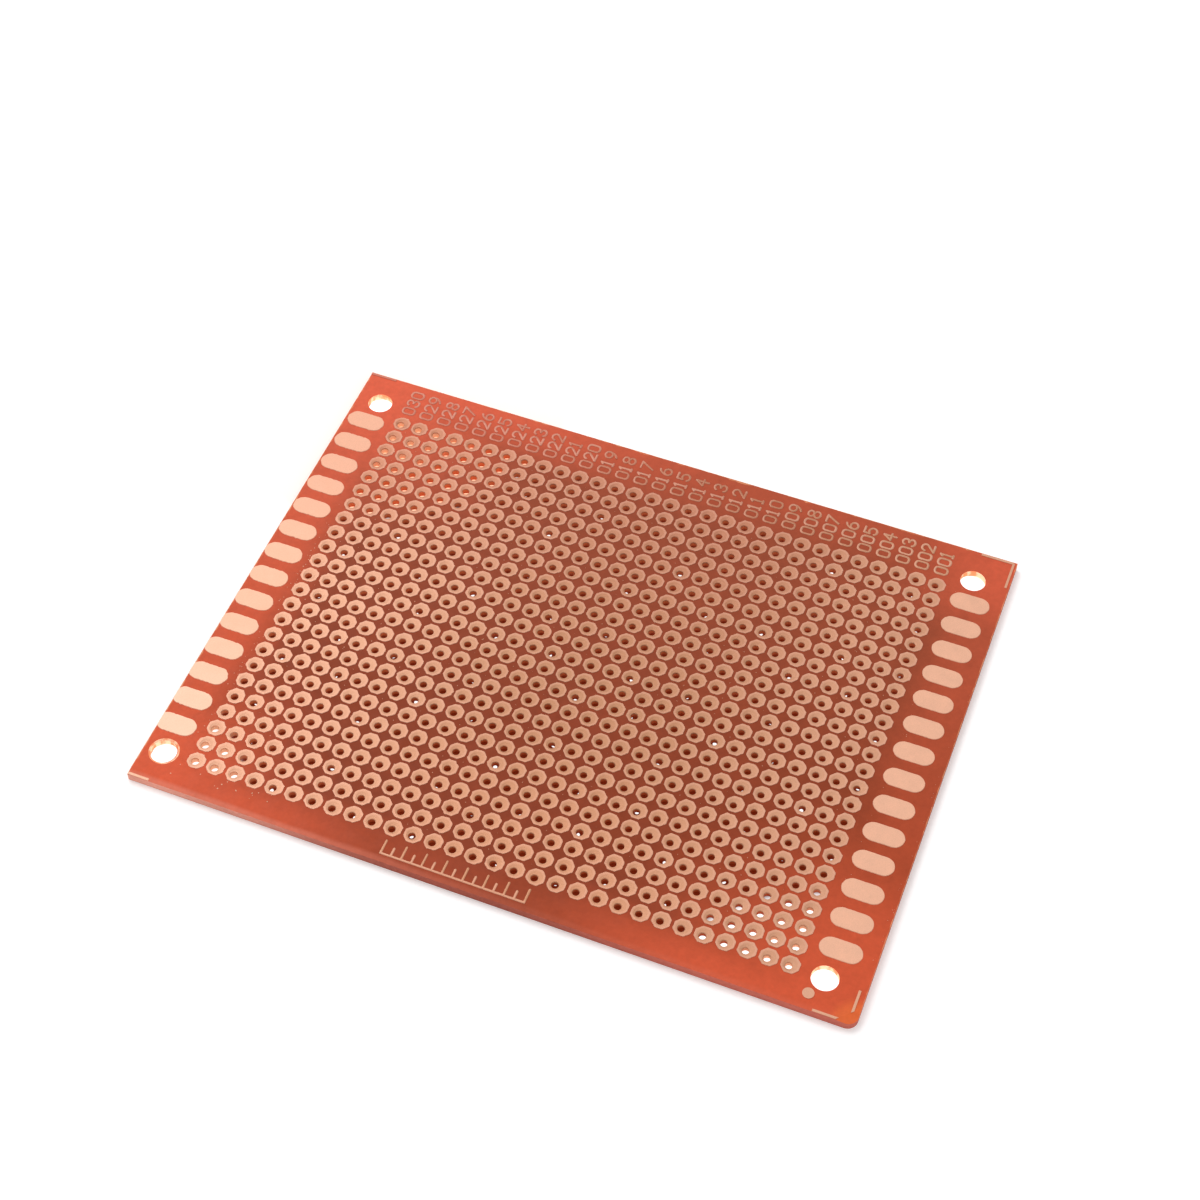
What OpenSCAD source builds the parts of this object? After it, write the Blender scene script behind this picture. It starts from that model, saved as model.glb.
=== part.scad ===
// Prototype board: a punched paper laminate card with punched copper pads on one side.
// +X runs towards column 001, +Y towards the edge that carries the column numbers,
// +Z out of the copper side. The origin is the middle of the outline, on the plain side.

/* [Laminate] */
// Length of the board, over both leaning short edges
board_l = 90.3; // [89.5:0.1:96]
// Width of the board, from the near edge to the far one
board_w = 70.3; // [70:0.1:76]
// Thickness of the laminate
board_t = 1.2; // [1:0.1:2.4]
// How far the left edge runs inwards from its far end to its near end
left_lean = 0.95; // [0:0.05:1.2]
// How far the right edge runs inwards from its near end to its far end
right_lean = 0.4; // [0:0.05:0.8]
// Radius of the worn near right corner
worn_corner_r = 1.3; // [0.4:0.1:1.8]
// Reach of the bruise on the worn corner, along each edge
bruise_reach = 2.4; // [1.5:0.1:3]
// Depth of the bruise at the tip of the worn corner
bruise_depth = 0.3; // [0.1:0.05:0.5]
// Width of the rolled band along the near edge, at the left end
roll_w = 1.1; // [0.8:0.05:1.4]
// Share of the length over which the rolled band narrows to nothing
roll_share = 0.92; // [0.7:0.01:0.93]
// Slope of the rolled band
roll_slope = 7; // [2:0.5:12]

/* [Copper image] */
// Thickness of the copper foil
foil_t = 0.07; // [0.04:0.01:0.14]
// Shift of the copper image from the middle of the outline, along X
image_x = -0.7; // [-0.9:0.05:0]
// Shift of the copper image from the middle of the outline, along Y
image_y = -0.04; // [-0.06:0.01:0.06]

/* [Pad grid] */
// Number of columns
columns = 30; // [2:1:30]
// Number of rows
rows = 24; // [2:1:24]
// Spacing of the lead holes both ways
pitch = 2.54; // [2.4:0.01:2.56]
// Width of an octagonal pad across its flats
pad_af = 2.22; // [2:0.02:2.36]
// Shift of the grid from the middle of the copper image, towards the far edge
grid_y = -1.25; // [-1.6:0.05:0]

/* [Lead holes] */
// Diameter of a lead hole
lead_hole_d = 1; // [0.8:0.05:1.2]
// Diameter of the dimple that the punch drew into the copper
dimple_d = 1.44; // [1.3:0.02:1.5]
// Depth of that dimple
dimple_depth = 0.1; // [0.04:0.01:0.2]
// Diameter of the breakout on the plain side
breakout_d = 1.55; // [1.3:0.05:2]
// Height of that breakout
breakout_h = 0.4; // [0.2:0.05:0.6]
// Shift of all the punched holes from the copper image, along X
punch_x = -0.08; // [-0.15:0.01:0.15]
// Shift of all the punched holes from the copper image, along Y
punch_y = -0.17; // [-0.2:0.01:0.15]

/* [Screw holes] */
// Diameter of a screw hole
screw_hole_d = 3.2; // [2.8:0.1:3.6]
// Diameter of a screw hole's breakout on the plain side
screw_breakout_d = 3.6; // [3.6:0.1:4.4]
// Distance of the screw holes from the short edges
screw_inset_x = 4.15; // [3.6:0.05:4.6]
// Distance of the screw holes from the long edges
screw_inset_y = 4.65; // [3:0.05:4.8]
// Diameter of the chipped rim of the near left screw hole
chip_d = 3.7; // [3.65:0.05:4.2]
// Depth of the chipped rim
chip_depth = 0.15; // [0.05:0.05:0.3]
// Shift of the chipped rim from its hole, along X
chip_x = 0.08; // [0:0.02:0.2]

/* [Edge pads] */
// Number of pads along each short edge
edge_pads = 14; // [2:1:14]
// Length of an edge pad
edge_pad_l = 5.08; // [4:0.02:5.2]
// Width of an edge pad
edge_pad_w = 2.64; // [2:0.02:3.2]
// Spacing of the edge pads
edge_pad_pitch = 4.1; // [3.4:0.05:4.2]
// Distance of the edge pads' middles from the short edges
edge_pad_inset = 3.65; // [3:0.05:3.8]

/* [Corner marks] */
// Length of one leg of a corner mark
mark_l = 4.2; // [3:0.1:4.4]
// Width of the mark's line
mark_line = 0.3; // [0.15:0.01:0.32]
// Distance of the mark's line from the short edge of the image
mark_inset_x = 0.15; // [0.1:0.01:0.6]
// Distance of the mark's line from the long edge of the image
mark_inset_y = 0.22; // [0.22:0.01:0.4]
// Diameter of the solid index dot beside the near right screw hole
dot_d = 1.37; // [0.8:0.01:1.7]
// Distance of the dot from that hole, towards the left
dot_dx = 1.15; // [1.1:0.05:3]
// Distance of the dot from that hole, towards the near edge
dot_dy = 2.45; // [2.4:0.05:2.9]

/* [Hidden] */
// Sides of the circles that are punched or printed
round_fn = 48;
// Overshoot of a cutting tool past the face that it leaves
past = 1;
// Corners of the outline
far_left = [-board_l / 2, board_w / 2];
far_right = [board_l / 2 - right_lean, board_w / 2];
near_right = [board_l / 2, -board_w / 2];
near_left = [-board_l / 2 + left_lean, -board_w / 2];
// Middle of the copper image, and the step from it to the punched holes
image = [image_x, image_y];
punch = [punch_x, punch_y];
// Half the distances between the screw holes
screw_x = board_l / 2 - screw_inset_x;
screw_y = board_w / 2 - screw_inset_y;
// Half the distances between the middles of the corner marks' lines
mark_x = board_l / 2 - mark_inset_x;
mark_y = board_w / 2 - mark_inset_y;
// Angle by which the rolled band's upper limit turns from the near edge
roll_turn = atan(roll_w / (board_l * roll_share));

function column_name(c) = str("pads_column_", c < 10 ? "00" : "0", c);
function unit(v) = v / norm(v);

// The octagon of one lead pad, flats along the rows and columns
module octagon() rotate(180 / 8) circle(d = pad_af / cos(180 / 8), $fn = 8);

// Puts its children at each pad of one column, column 1 at the right
module in_column(c)
  for (r = [0 : rows - 1])
    translate(image + [((columns + 1) / 2 - c) * pitch, grid_y + (r - (rows - 1) / 2) * pitch])
      children();

// Puts its children at the four screw holes
module at_screws()
  for (sx = [-1, 1], sy = [-1, 1])
    translate(image + punch + [sx * screw_x, sy * screw_y]) children();

// The outline: four straight edges and one worn round corner
module outline() {
  along_near = unit(near_left - near_right);
  along_right = unit(far_right - near_right);
  half_angle = acos(along_near * along_right) / 2;
  tangent = worn_corner_r / tan(half_angle);
  polygon([far_left, near_left, near_right + along_near * tangent,
           near_right + along_right * tangent, far_right]);
  translate(near_right + unit(along_near + along_right) * worn_corner_r / sin(half_angle))
    circle(r = worn_corner_r, $fn = round_fn);
}

// What one punch takes out: the hole, its dimple above and its breakout below
module punched(hole_d, out_d, out_h, in_d, in_depth)
  rotate_extrude($fn = round_fn)
    polygon([
      [0, -past],
      [out_d / 2, -past],
      [out_d / 2, 0],
      [hole_d / 2, out_h],
      [hole_d / 2, board_t - in_depth],
      [in_d / 2, board_t],
      [in_d / 2, board_t + past],
      [0, board_t + past]]);

// The frame of the rolled band: x along its upper limit, y up the slope, z off the copper side
module on_rolled_band()
  translate([near_left[0] - left_lean, near_left[1] + roll_w, board_t])
    rotate(-roll_turn) rotate([roll_slope, 0, 0]) children();

// What shearing rolled down along the near edge
module rolled_off()
  on_rolled_band() translate([-past, -board_w / 2, 0]) cube([board_l + 2 * past, board_w / 2, past]);

// What is crushed off the worn corner, a slope across it
module bruised_off()
  translate([near_right[0], near_right[1], board_t]) rotate(45)
    translate([0, bruise_reach / sqrt(2), 0])
      rotate([atan(bruise_depth * sqrt(2) / bruise_reach), 0, 0])
        translate([-board_w / 2, -board_w / 2, 0]) cube([board_w, board_w / 2, past]);

// The chipped rim round the near left screw hole
module chipped_off()
  translate(image + punch + [chip_x - screw_x, -screw_y]) translate([0, 0, board_t - chip_depth])
    cylinder(d1 = screw_hole_d, d2 = chip_d + (chip_d - screw_hole_d), h = 2 * chip_depth,
             $fn = round_fn);

// The card itself
module laminate() color([0.77, 0.31, 0.19]) difference() {
  linear_extrude(board_t) outline();
  for (c = [1 : columns])
    in_column(c) translate(punch) punched(lead_hole_d, breakout_d, breakout_h, dimple_d, dimple_depth);
  at_screws() punched(screw_hole_d, screw_breakout_d, breakout_h, screw_hole_d, dimple_depth);
  chipped_off();
  rolled_off();
  bruised_off();
}

// One column of lead pads: octagons of foil with their rims drawn down into the holes
module pads_column(c) color([0.86, 0.62, 0.47]) translate([0, 0, board_t]) difference() {
  union() {
    linear_extrude(foil_t) in_column(c) octagon();
    in_column(c) translate([punch_x, punch_y, -dimple_depth])
      cylinder(d1 = lead_hole_d, d2 = dimple_d, h = dimple_depth, $fn = round_fn);
  }
  in_column(c) translate(punch) rotate_extrude($fn = round_fn)
    polygon([
      [0, -past],
      [lead_hole_d / 2, -past],
      [lead_hole_d / 2, foil_t - dimple_depth],
      [dimple_d / 2, foil_t],
      [dimple_d / 2, past],
      [0, past]]);
}

// The round-ended contact pads along one short edge: side is -1 for the left, 1 for the right.
// Where the image overhangs the card, its edge cuts them off.
module edge_pads_row(side) color([0.86, 0.62, 0.47]) translate([0, 0, board_t])
  linear_extrude(foil_t) intersection() {
    outline();
    for (p = [0 : edge_pads - 1])
      translate(image + [side * (board_l / 2 - edge_pad_inset),
                         (p - (edge_pads - 1) / 2) * edge_pad_pitch])
        edge_pad();
  }

// One contact pad: a straight strip with full round ends
module edge_pad() {
  straight = edge_pad_l - edge_pad_w;
  square([straight, edge_pad_w], center = true);
  for (end = [-1, 1]) translate([end * straight / 2, 0]) circle(d = edge_pad_w, $fn = round_fn);
}

// One leg of a mark along X and one along Y, both running in from the corner of the image
module leg_x(sx, sy)
  translate(image + [sx * (mark_x - mark_l / 2), sy * mark_y])
    square([mark_l, mark_line], center = true);
module leg_y(sx, sy)
  translate(image + [sx * mark_x, sy * (mark_y - mark_l / 2)])
    square([mark_line, mark_l], center = true);

// The part of the outline that the bruise has left flat
module unbruised() difference() {
  outline();
  translate(near_right) rotate(45) square(bruise_reach * sqrt(2), center = true);
}

// The thin angles in the corners, where the card still carries them
module corner_marks() color([0.86, 0.62, 0.47]) {
  translate([0, 0, board_t]) linear_extrude(foil_t) intersection() {
    unbruised();
    union() {
      for (sx = [-1, 1]) leg_x(sx, 1);
      leg_x(1, -1);
      for (sy = [-1, 1]) leg_y(1, sy);
    }
  }
  // This leg lies on the rolled band
  on_rolled_band() linear_extrude(foil_t)
    rotate(roll_turn) translate([0, -roll_w] - near_left + [left_lean, 0])
      intersection() { outline(); leg_x(-1, -1); }
}

// The index dot beside the near right screw hole
module index_dot() color([0.86, 0.62, 0.47])
  translate(image + punch + [screw_x - dot_dx, -screw_y - dot_dy]) translate([0, 0, board_t])
    cylinder(d = dot_d, h = foil_t, $fn = round_fn);

laminate();
for (c = [1 : columns])
  pads_column(c);
edge_pads_row(-1);  // edge_pads_left
edge_pads_row(1);  // edge_pads_right
corner_marks();
index_dot();
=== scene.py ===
import math

import bpy
import numpy as np
from mathutils import Euler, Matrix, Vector


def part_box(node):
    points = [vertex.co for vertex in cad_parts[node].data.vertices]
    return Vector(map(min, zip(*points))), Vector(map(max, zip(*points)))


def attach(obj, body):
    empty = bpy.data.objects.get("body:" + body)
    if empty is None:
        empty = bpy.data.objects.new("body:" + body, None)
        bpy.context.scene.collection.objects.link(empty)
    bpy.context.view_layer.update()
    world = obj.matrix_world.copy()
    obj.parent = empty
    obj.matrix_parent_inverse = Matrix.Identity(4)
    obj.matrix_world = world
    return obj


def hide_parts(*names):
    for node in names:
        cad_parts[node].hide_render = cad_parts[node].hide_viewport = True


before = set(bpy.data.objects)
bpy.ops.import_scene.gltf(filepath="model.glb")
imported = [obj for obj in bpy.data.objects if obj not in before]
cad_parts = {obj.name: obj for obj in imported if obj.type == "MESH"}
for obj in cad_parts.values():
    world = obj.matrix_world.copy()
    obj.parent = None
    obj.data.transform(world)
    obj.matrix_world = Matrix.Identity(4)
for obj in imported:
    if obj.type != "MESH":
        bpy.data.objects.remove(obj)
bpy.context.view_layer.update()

# Lengths below are millimetres; the meshes are written in metres
METRES = 0.001
rng = np.random.default_rng(24)


def corners_mm(node):
    """The lowest and highest corner of a CAD node, in millimetres."""
    return [np.array(corner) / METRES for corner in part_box(node)]


# What the frame says, in millimetres
board_low, board_high = corners_mm("laminate")
first_low, first_high = corners_mm("pads_column_001")
last_low, last_high = corners_mm("pads_column_030")
BOARD_TOP = board_high[2]
FOIL_TOP = first_high[2]
FOIL = FOIL_TOP - BOARD_TOP
COLUMNS, ROWS = 30, 24
PAD_AF = first_high[0] - first_low[0]
PITCH = (first_high[1] - first_low[1] - PAD_AF) / (ROWS - 1)
COLUMN_1_X = (first_high[0] + first_low[0]) / 2
ROW_1_Y = first_low[1] + PAD_AF / 2
COLUMN_30_X = (last_high[0] + last_low[0]) / 2
ROW_24_Y = ROW_1_Y + (ROWS - 1) * PITCH

# The round-ended contact pads: the left ones are cut off by the board's edge, the right ones are whole
left_high = corners_mm("edge_pads_left")[1]
right_low, right_high = corners_mm("edge_pads_right")
CONTACTS, CONTACT_W = 14, 2.64
CONTACT_L = right_high[0] - right_low[0]
CONTACT_Y = right_low[1] + CONTACT_W / 2
CONTACT_PITCH = (right_high[1] - right_low[1] - CONTACT_W) / (CONTACTS - 1)
CONTACT_X = {"left": left_high[0] - CONTACT_L / 2, "right": (right_low[0] + right_high[0]) / 2}

# Halfway between the two rows of contact pads, how far off they lie, and where their inner ends begin
CONTACT_MIDDLE = (CONTACT_X["left"] + CONTACT_X["right"]) / 2
CONTACT_REACH = CONTACT_X["right"] - CONTACT_MIDDLE
CONTACT_START = CONTACT_REACH - CONTACT_L / 2

# How far the punched lead holes lie off their pads' middles
PUNCH = np.array([-0.08, -0.17])

# The screw holes lie this far either side of their own middle; what is nearer than the start is their wall
SCREW_X, SCREW_Y = 41.0, 30.5
SCREW_CENTRE = np.array([-0.78, -0.21])
SCREW_WALL_END, SCREW_WALL_START = 2.3, 2.1

# The bruised corner
NEAR_RIGHT = (board_high[0], board_low[1])

# The left edge runs inwards towards the near side by this much, the right one towards the far side
LEFT_LEAN, RIGHT_LEAN = 0.95, 0.4


def column_x(column):
    """The middle of a pad column; column 1 is at the right."""
    return COLUMN_1_X - (column - 1) * PITCH


def row_y(row):
    """The middle of a pad row; row 0 is at the near edge."""
    return ROW_1_Y + row * PITCH


# Mesh helpers

def mesh_piece(name, vertices, faces, material, sharp_deg=40):
    """A piece that rides on the board, from vertices in millimetres."""
    mesh = bpy.data.meshes.new(name)
    mesh.from_pydata((np.asarray(vertices) * METRES).tolist(), [], faces)
    mesh.validate()
    mesh.polygons.foreach_set("use_smooth", [True] * len(mesh.polygons))
    mesh.set_sharp_from_angle(angle=math.radians(sharp_deg))
    mesh.materials.append(material)
    piece = bpy.data.objects.new(name, mesh)
    bpy.context.scene.collection.objects.link(piece)
    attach(piece, "root")
    return piece


def ring_faces(rings, sides, start, closed):
    """Quads between successive rings of a loft; closed joins the last ring to the first."""
    faces = []
    for ring in range(rings if closed else rings - 1):
        a = start + ring * sides
        b = start + ((ring + 1) % rings) * sides
        for side in range(sides):
            after = (side + 1) % sides
            faces.append((a + side, a + after, b + after, b + side))
    return faces


class Builder:
    """Collects closed solids into one mesh."""

    def __init__(self):
        self.vertices = []
        self.faces = []
        self.count = 0

    def loft(self, rings, closed=True):
        """A solid from rings of equal length; closed runs round like a torus, else it is capped."""
        rings = np.asarray(rings)
        count, sides, _ = rings.shape
        self.faces += ring_faces(count, sides, self.count, closed)
        if not closed:
            first = list(range(self.count, self.count + sides))
            last = [v + (count - 1) * sides for v in first]
            self.faces += [tuple(reversed(first)), tuple(last)]
        self.vertices.append(rings.reshape(-1, 3))
        self.count += count * sides

    def piece(self, name, material, slot, sharp_deg=40):
        return mesh_piece(name, np.concatenate(self.vertices), self.faces, material, sharp_deg)


def at_height(outline, z):
    return np.column_stack([outline, np.full(len(outline), z)])


def inset(outline, distance):
    """Moves each point of an anticlockwise outline inwards along its normal."""
    along = np.roll(outline, -1, 0) - np.roll(outline, 1, 0)
    normal = np.column_stack([-along[:, 1], along[:, 0]])
    normal /= np.maximum(np.linalg.norm(normal, axis=1, keepdims=True), 1e-9)
    return outline + normal * distance


def foil_rings(outline, base, thickness, bevel):
    """The rings of a slab of foil whose top edge is etched back."""
    return [at_height(outline, base),
            at_height(inset(outline, bevel * 0.4), base + thickness * 0.65),
            at_height(inset(outline, bevel), base + thickness)]


def foil_slab(builder, outline, base, thickness, bevel):
    builder.loft(foil_rings(outline, base, thickness, bevel), closed=False)


# Node helpers

class Nodes:
    """Builds a material's node tree with short calls; a number or colour may stand for a socket."""

    def __init__(self, name):
        self.material = bpy.data.materials.new(name)
        self.material.use_nodes = True
        self.tree = self.material.node_tree
        self.shader = self.tree.nodes["Principled BSDF"]
        point = self.tree.nodes.new("ShaderNodeTexCoord").outputs["Object"]
        scaled = self.tree.nodes.new("ShaderNodeVectorMath")
        scaled.operation = "SCALE"
        scaled.inputs["Scale"].default_value = 1 / METRES
        self.tree.links.new(point, scaled.inputs[0])
        self.point = scaled.outputs[0]
        split = self.tree.nodes.new("ShaderNodeSeparateXYZ")
        self.tree.links.new(self.point, split.inputs[0])
        self.x, self.y, self.z = split.outputs
        facing = self.tree.nodes.new("ShaderNodeSeparateXYZ")
        geometry = self.tree.nodes.new("ShaderNodeNewGeometry")
        self.tree.links.new(geometry.outputs["True Normal"], facing.inputs[0])
        self.facing_z = facing.outputs[2]

    def put(self, socket, value):
        if isinstance(value, bpy.types.NodeSocket):
            self.tree.links.new(value, socket)
        else:
            socket.default_value = value

    def math(self, operation, a, b=0.0, clamp=False):
        node = self.tree.nodes.new("ShaderNodeMath")
        node.operation = operation
        node.use_clamp = clamp
        self.put(node.inputs[0], a)
        self.put(node.inputs[1], b)
        return node.outputs[0]

    def plus(self, a, b, clamp=False):
        return self.math("ADD", a, b, clamp)

    def minus(self, a, b):
        return self.math("SUBTRACT", a, b)

    def times(self, a, b):
        return self.math("MULTIPLY", a, b)

    def larger(self, a, b):
        return self.math("MAXIMUM", a, b)

    def absolute(self, a):
        return self.math("ABSOLUTE", a)

    def fade(self, value, start, end):
        """0 at start and 1 at end, smooth between; start may be above end."""
        node = self.tree.nodes.new("ShaderNodeMapRange")
        node.interpolation_type = "SMOOTHSTEP"
        self.put(node.inputs["Value"], value)
        if start < end:
            limits = (start, end, 0.0, 1.0)
        else:
            limits = (end, start, 1.0, 0.0)
        for socket, number in zip(("From Min", "From Max", "To Min", "To Max"), limits):
            node.inputs[socket].default_value = number
        return node.outputs["Result"]

    def mix(self, factor, a, b):
        node = self.tree.nodes.new("ShaderNodeMix")
        node.data_type = "RGBA"
        self.put(node.inputs["Factor"], factor)
        self.put(node.inputs["A"], a)
        self.put(node.inputs["B"], b)
        return node.outputs["Result"]

    def scale_colour(self, colour, value):
        """The colour times a value, the same for the three channels."""
        node = self.tree.nodes.new("ShaderNodeVectorMath")
        node.operation = "SCALE"
        self.put(node.inputs[0], colour)
        self.put(node.inputs["Scale"], value)
        return node.outputs[0]

    def noise(self, size, detail=3.0, stretch=(1, 1, 1), seed=0.0):
        """Noise whose features are about that many millimetres across."""
        moved = self.tree.nodes.new("ShaderNodeVectorMath")
        moved.operation = "MULTIPLY_ADD"
        self.tree.links.new(self.point, moved.inputs[0])
        moved.inputs[1].default_value = tuple(1 / (size * s) for s in stretch)
        moved.inputs[2].default_value = (seed, seed * 0.7, seed * 1.3)
        node = self.tree.nodes.new("ShaderNodeTexNoise")
        node.inputs["Scale"].default_value = 1.0
        node.inputs["Detail"].default_value = detail
        self.tree.links.new(moved.outputs[0], node.inputs["Vector"])
        return node.outputs["Fac"]

    def lattice_distance(self, centre, pitch_x, pitch_y, turn_deg=0.0):
        """Distance to the nearest point of a lattice that passes through centre, turned by turn_deg."""
        cosine, sine = math.cos(math.radians(turn_deg)), math.sin(math.radians(turn_deg))
        x = self.minus(self.x, centre[0])
        y = self.minus(self.y, centre[1])
        along = self.plus(self.times(x, cosine), self.times(y, sine))
        across = self.minus(self.times(y, cosine), self.times(x, sine))
        offsets = []
        for socket, pitch in ((along, pitch_x), (across, pitch_y)):
            steps = self.math("DIVIDE", socket, pitch)
            offsets.append(self.times(self.minus(steps, self.math("ROUND", steps)), pitch))
        squares = [self.times(o, o) for o in offsets]
        return self.math("SQRT", self.plus(*squares))

    def distance(self, centre, squash=(1.0, 1.0)):
        """Distance in plan from a point, with each axis divided by its squash."""
        squares = []
        for socket, middle, s in ((self.x, centre[0], squash[0]), (self.y, centre[1], squash[1])):
            offset = self.math("DIVIDE", self.minus(socket, middle), s)
            squares.append(self.times(offset, offset))
        return self.math("SQRT", self.plus(*squares))

    def bump(self, height, distance_mm, strength=1.0, after=None):
        node = self.tree.nodes.new("ShaderNodeBump")
        node.inputs["Distance"].default_value = distance_mm * METRES
        node.inputs["Strength"].default_value = strength
        self.put(node.inputs["Height"], height)
        if after is not None:
            self.tree.links.new(after, node.inputs["Normal"])
        return node.outputs["Normal"]


def srgb(red, green, blue):
    """The linear colour of an 8-bit display colour."""
    def linear(v):
        v /= 255
        return v / 12.92 if v <= 0.04045 else ((v + 0.055) / 1.055) ** 2.4
    return (linear(red), linear(green), linear(blue), 1.0)


# Materials

LAMINATE_DARK = srgb(139, 58, 29)
LAMINATE_DARK_FAR = srgb(150, 70, 44)
LAMINATE_GLOW = srgb(226, 93, 58)
LAMINATE_GLOW_FAR = srgb(227, 98, 68)
UNDERSIDE = srgb(226, 88, 44)
UNDERSIDE_SHADE = srgb(150, 46, 24)
EDGE_GLOW_PINK = srgb(255, 178, 158)
EDGE_GLOW_RED = srgb(222, 121, 104)
EDGE_BROWN = srgb(166, 88, 72)
ARRIS_TAN = srgb(216, 120, 78)
ARRIS_PALE = srgb(238, 170, 122)
BRUISE_ORANGE = srgb(232, 110, 56)
ROLL_SHEEN_PINK = srgb(226, 128, 104)
HOLE_TAN = srgb(190, 92, 50)
HOLE_TAN_LEFT = srgb(212, 122, 78)
HOLE_RED = srgb(146, 44, 18)
HOLE_RED_FAR = srgb(186, 92, 62)
HOLE_LIT = srgb(216, 172, 140)
SCREW_GLOW_CREAM = srgb(248, 212, 176)
SCREW_GLOW_TAN = srgb(228, 146, 102)
# Painted light: the hole walls glow, standing in for light that the resin lets through into the holes
WALL_GLOW = 0.12
LIT_WALL_GLOW = 0.16

# Painted glow where light soaks in from the corners: the place, how far it reaches, its full core, and its
# share
GLOW_CORNERS = (((-46, 36), 34, 4, 0.95), ((-46, -36), 27, 5, 0.92),
                ((46, -36), 34, 6, 0.76), ((46, 36), 22, 3, 0.7))

# Painted shade: the dark ovals where the contact pads on the other side shadow through the card: how far the
# shade spreads, and its full core
SHADE_REACH, SHADE_CORE = 1.9, 0.9


def laminate_material():
    """Red-brown resin paper: satin faces, tan cut walls, and a painted orange glow where light soaks in from
    the edges.
    """
    n = Nodes("resin_paper")
    fibres = n.noise(0.5, 5.0, (1, 1, 1))
    blotches = n.noise(7.0, 3.0, seed=3.1)
    # Painted glow: light soaks in a long way round the corners and a little from each edge
    glow = 0.0
    for centre, reach, core, weight in GLOW_CORNERS:
        part = n.times(n.fade(n.distance(centre), reach, core), weight)
        glow = n.larger(glow, part)
    far_share = n.plus(n.times(n.fade(n.x, 12, -36), 0.58), 0.32)
    near_share = n.times(n.fade(n.absolute(n.plus(n.x, 2)), 4, 32), 0.6)
    near_share = n.plus(near_share, 0.16)
    edges = [(n.fade(n.x, -34, -42), 0.72), (n.fade(n.x, 35, 42), 0.3),
             (n.fade(n.y, 25, 35), far_share), (n.fade(n.y, -28, -34), near_share)]
    for mask, share in edges:
        glow = n.larger(glow, n.times(mask, share))
    glow = n.plus(glow, n.times(n.minus(blotches, 0.5), 0.22), clamp=True)
    farther = n.fade(n.y, -20, 28)
    dark = n.mix(farther, LAMINATE_DARK, LAMINATE_DARK_FAR)
    top = n.mix(glow, dark, n.mix(farther, LAMINATE_GLOW, LAMINATE_GLOW_FAR))

    # The near edge is rolled down, with a painted sheen that makes it pinker, most at the left
    roll_line = n.plus(n.y, n.times(blotches, 0.5))
    roll_share = n.plus(n.times(n.fade(n.x, 10, -34), 0.5), 0.12)
    roll = n.times(n.fade(roll_line, board_low[1] + 1.2, board_low[1] + 0.5), roll_share)
    top = n.mix(roll, top, ROLL_SHEEN_PINK)

    # Sheared arrises: a thin pale line at the left and right, chips of bare paper along the far edge
    chatter = n.noise(1.1, 4.0, seed=17.0)
    chips = n.noise(2.6, 4.0, seed=19.0)
    lean = n.times(n.minus(board_high[1], n.y), LEFT_LEAN / (2 * board_high[1]))
    from_left = n.minus(n.minus(n.x, board_low[0]), lean)
    right_lean = n.times(n.minus(n.y, board_low[1]), RIGHT_LEAN / (2 * board_high[1]))
    from_right = n.minus(n.minus(board_high[0], n.x), right_lean)
    from_far = n.minus(board_high[1], n.y)
    chip_reach = n.times(n.fade(chips, 0.5, 0.66), n.times(n.fade(n.x, -34, -14), 0.2))
    chip_reach = n.plus(chip_reach, n.times(chatter, 0.14))
    line_reach = n.times(chatter, 0.26)
    at_left = n.math("LESS_THAN", from_left, line_reach)
    at_right = n.math("LESS_THAN", from_right, n.times(line_reach, 0.5))
    arris = n.larger(at_left, at_right)
    arris = n.larger(arris, n.math("LESS_THAN", from_far, chip_reach))
    torn_face = n.mix(n.fade(chatter, 0.42, 0.6), ARRIS_TAN, ARRIS_PALE)
    top = n.mix(n.times(arris, 0.6), top, torn_face)

    # The bruised corner is crushed to a soft orange
    bruise_line = n.plus(n.distance(NEAR_RIGHT), n.times(blotches, 1.4))
    top = n.mix(n.times(n.fade(bruise_line, 4.4, 2.6), 0.75), top, BRUISE_ORANGE)

    # The underside is the brighter resin face, with painted shade where a contact pad on the other side
    # shadows through
    below = n.fade(n.facing_z, -0.3, -0.7)
    past_end = n.minus(n.absolute(n.minus(n.x, CONTACT_MIDDLE)), CONTACT_REACH)
    past_end = n.minus(n.absolute(past_end), (CONTACT_L - CONTACT_W) / 2)
    past_end = n.larger(past_end, 0.0)
    rows = n.math("PINGPONG", n.minus(n.y, CONTACT_Y), CONTACT_PITCH / 2)
    shade = n.math("SQRT", n.plus(n.times(past_end, past_end), n.times(rows, rows)))
    contacts = n.times(n.fade(shade, SHADE_REACH, SHADE_CORE), n.fade(n.absolute(n.y), 29.0, 28.4))
    contacts = n.times(contacts, n.plus(n.times(blotches, 0.5), 0.25))
    face = n.mix(below, top, n.mix(contacts, UNDERSIDE, UNDERSIDE_SHADE))

    # Cut walls: the lead holes are tan near the copper and dark red below
    wall = n.fade(n.absolute(n.facing_z), 0.95, 0.8)
    layers = n.noise(0.3, 4.0, (3, 3, 0.5), seed=5.0)
    torn = n.noise(0.8, 5.0, (1, 1, 1.6), seed=8.0)
    depth = n.plus(n.z, n.times(torn, 0.5))
    tan = n.mix(n.larger(n.fade(n.x, -10, -34), farther), HOLE_TAN, HOLE_TAN_LEFT)
    wall_colour = n.mix(n.fade(depth, 0.5, 1.0), n.mix(farther, HOLE_RED, HOLE_RED_FAR), tan)
    # Painted glow: where light soaks in, the hole walls turn pale
    wall_colour = n.mix(n.fade(glow, 0.4, 0.62), wall_colour, HOLE_LIT)
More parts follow.
